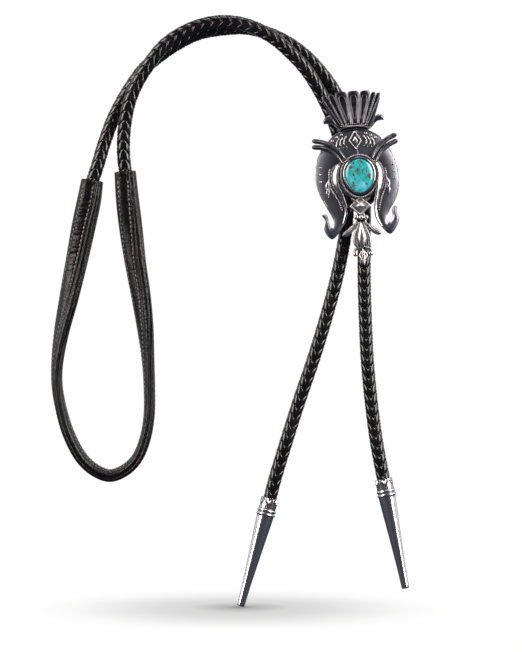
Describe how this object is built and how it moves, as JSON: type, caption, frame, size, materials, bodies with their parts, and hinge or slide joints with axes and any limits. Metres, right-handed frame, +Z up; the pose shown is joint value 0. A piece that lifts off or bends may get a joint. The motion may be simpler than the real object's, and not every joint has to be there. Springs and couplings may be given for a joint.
{
  "type": "bolo tie",
  "caption": "Bolo tie: plaited leather cords with tapered silver tips, a stitched leather neck strap and an ornate silver slide set with an oval turquoise stone.",
  "frame": {"origin": "underside of the cords at the top of their arc, where they rest on the rail or peg that holds the tie up", "axes": "+Z up, the slide's face and the stone look along -Y, the neck strap hangs on the -X side and the slide on the +X side"},
  "size_m": [0.1522, 0.0156, 0.2515],
  "materials": {
    "strap_leather": "black pebble-grain leather, folded and edge stitched, semi-gloss",
    "cord_leather": "black round-plaited leather lace, semi-gloss",
    "oxidised_silver": "sterling silver, polished high spots over oxidised dark recesses",
    "polished_silver": "spun sterling silver, polished, darkened round the rings and points",
    "turquoise": "polished turquoise cabochon with brown matrix"
  },
  "bodies": {
    "root": {"neck_strap": "strap_leather", "cord_front": "cord_leather", "cord_rear": "cord_leather", "silver_slide": "oxidised_silver", "turquoise_cabochon": "turquoise", "tip_left": "polished_silver", "tip_right": "polished_silver"}
  },
  "joints": []
}
